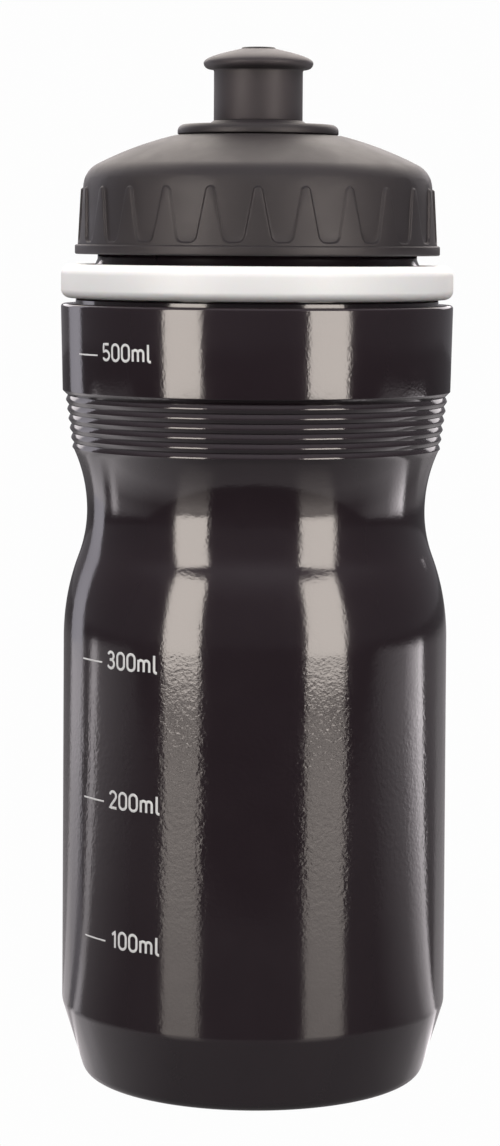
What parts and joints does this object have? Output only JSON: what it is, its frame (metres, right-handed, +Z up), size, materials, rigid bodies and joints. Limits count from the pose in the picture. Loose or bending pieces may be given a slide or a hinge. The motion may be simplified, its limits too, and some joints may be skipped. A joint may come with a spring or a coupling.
{
  "type": "sports squeeze bottle",
  "caption": "Squeezable sports bottle with a waist, grip ribs, a loose neck ring, a screw cap and a push-pull spout that opens by pulling up.",
  "frame": {"origin": "centre of the foot ring on the plane that the bottle stands on", "axes": "+Z up along the bottle's axis, -Y towards the front"},
  "size_m": [0.075, 0.075, 0.1965],
  "materials": {
    "bottle_polyethylene": "gloss with a faint orange peel",
    "band_polypropylene": "satin",
    "cap_polypropylene": "fine matte",
    "spout_elastomer": "soft satin",
    "seal_silicone": "satin"
  },
  "bodies": {
    "bottle": {"bottle_body": "bottle_polyethylene"},
    "band": {"neck_band": "band_polypropylene"},
    "gasket": {"cap_gasket": "seal_silicone"},
    "cap": {"screw_cap": "cap_polypropylene", "valve_post": "cap_polypropylene", "spout_seal": "seal_silicone"},
    "nozzle": {"spout_core": "cap_polypropylene", "spout_mouthpiece": "spout_elastomer"}
  },
  "joints": [
    {"name": "band_turn", "type": "hinge", "parent": "bottle", "child": "band", "pos_m": [0, 0, 0.1517], "axis": [0, 0, 1], "continuous": true},
    {"name": "cap_rise", "type": "slide", "parent": "bottle", "child": "gasket", "axis": [0, 0, 1], "range_m": [0, 0.0135]},
    {"name": "cap_turn", "type": "hinge", "parent": "gasket", "child": "cap", "pos_m": [0, 0, 0.165], "axis": [0, 0, 1], "range_deg": [0, 1080]},
    {"name": "nozzle_slide", "type": "slide", "parent": "cap", "child": "nozzle", "axis": [0, 0, 1], "range_m": [0, 0.006]}
  ],
  "couplings": [
    {"joint": "cap_rise", "follows": "cap_turn", "m_per_rad": 0.0007162}
  ]
}
